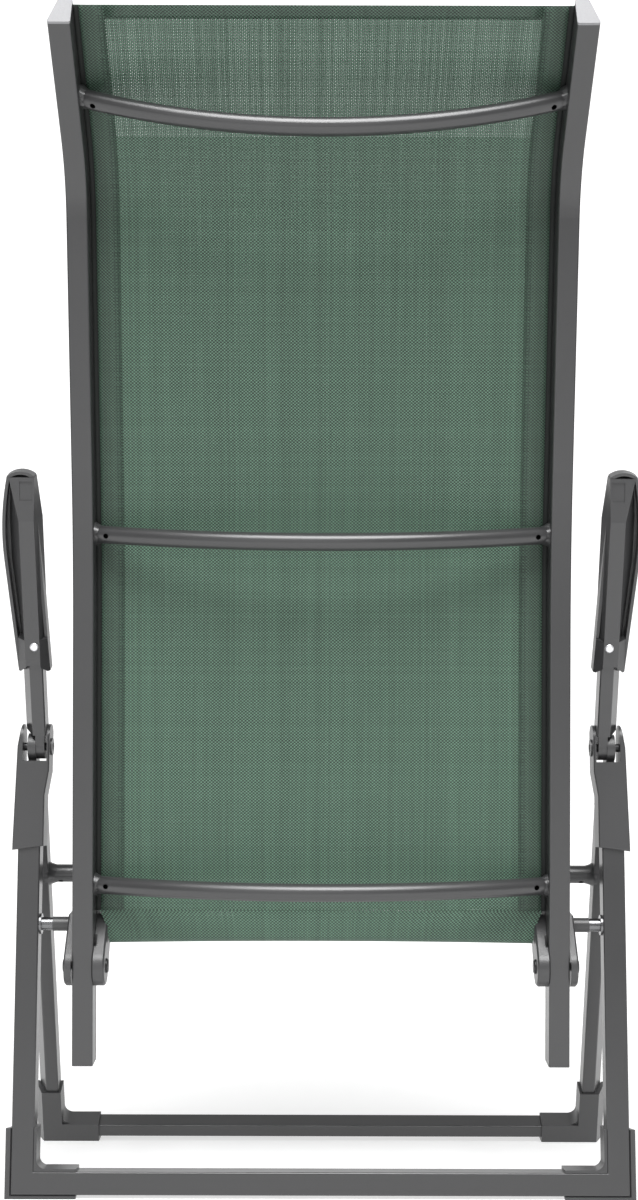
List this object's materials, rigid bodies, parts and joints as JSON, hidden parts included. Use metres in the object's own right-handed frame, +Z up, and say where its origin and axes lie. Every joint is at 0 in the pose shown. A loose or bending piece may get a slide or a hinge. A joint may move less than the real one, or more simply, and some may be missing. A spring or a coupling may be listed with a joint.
{
  "type": "folding deck chair",
  "caption": "Folding garden deck chair with leg rest, shown folded and standing: dark metal frame, green mesh cloth, moulded armrests.",
  "frame": {"origin": "on the floor, under the middle of the bounding box of the folded chair", "axes": "+X to the sitter's right, +Y forward, +Z up"},
  "size_m": [0.6136, 0.384, 1.1037],
  "materials": {
    "frame": "fine matt powder coat, anthracite grey",
    "fittings": "fine grained dark grey moulding",
    "steel": "plain zinc plated",
    "cloth": "open mesh weave of coated yarn, green"
  },
  "bodies": {
    "rear_legs": {"rear_floor_bar": "frame", "rear_corner_left": "fittings", "rear_corner_right": "fittings", "rear_leg_left": "frame", "rear_leg_right": "frame", "leg_fork_left": "fittings", "leg_fork_right": "fittings", "apex_pins": "steel", "seat_pivot_bolts": "steel", "seat_pivot_spacers": "fittings", "seat_pivot_collars": "steel"},
    "front_legs": {"front_floor_bar": "frame", "front_corner_left": "fittings", "front_corner_right": "fittings", "front_leg_left": "frame", "front_leg_right": "frame", "front_cross_tube": "frame", "front_knuckle_left": "fittings", "front_knuckle_right": "fittings", "armrest_bar_left": "frame", "armrest_bar_right": "frame", "armrest_left": "fittings", "armrest_right": "fittings", "armrest_screws": "steel"},
    "seat": {"seat_hinge_left": "fittings", "seat_hinge_right": "fittings", "seat_pivot_bushes": "fittings", "back_pivot_rivets": "steel", "seat_rail_left": "frame", "seat_rail_right": "frame", "seat_front_bar": "frame", "seat_knee_left": "fittings", "seat_knee_right": "fittings", "seat_sling": "cloth", "sling_loop": "cloth"},
    "back": {"back_stile_left": "frame", "back_stile_right": "frame", "stile_top_caps": "fittings", "stile_bottom_caps": "fittings", "lower_crossbar": "frame", "middle_crossbar": "frame", "top_crossbar": "frame", "back_sling": "cloth"},
    "leg_rest": {"leg_rest_knee_left": "fittings", "leg_rest_knee_right": "fittings", "knee_pins": "steel", "leg_rest_rail_left": "frame", "leg_rest_rail_right": "frame", "leg_rest_caps": "fittings", "leg_rest_end_bar": "frame", "leg_rest_sling": "cloth"}
  },
  "joints": [
    {"name": "front_leg_swing", "type": "hinge", "parent": "rear_legs", "child": "front_legs", "pos_m": [0, 0.04454, 0.431], "axis": [1, 0, 0], "range_deg": [0, 50]},
    {"name": "seat_swing", "type": "hinge", "parent": "rear_legs", "child": "seat", "pos_m": [0, 0.02422, 0.258], "axis": [1, 0, 0], "range_deg": [-41.5, 0]},
    {"name": "back_recline", "type": "hinge", "parent": "seat", "child": "back", "pos_m": [0, -0.00546, 0.223], "axis": [1, 0, 0], "range_deg": [0, 105]},
    {"name": "leg_rest_fold", "type": "hinge", "parent": "seat", "child": "leg_rest", "pos_m": [0, 0.02954, 0.757], "axis": [1, 0, 0], "range_deg": [-80, 0]}
  ],
  "couplings": [
    {"joint": "seat_swing", "follows": "front_leg_swing", "ratio": -0.83}
  ]
}
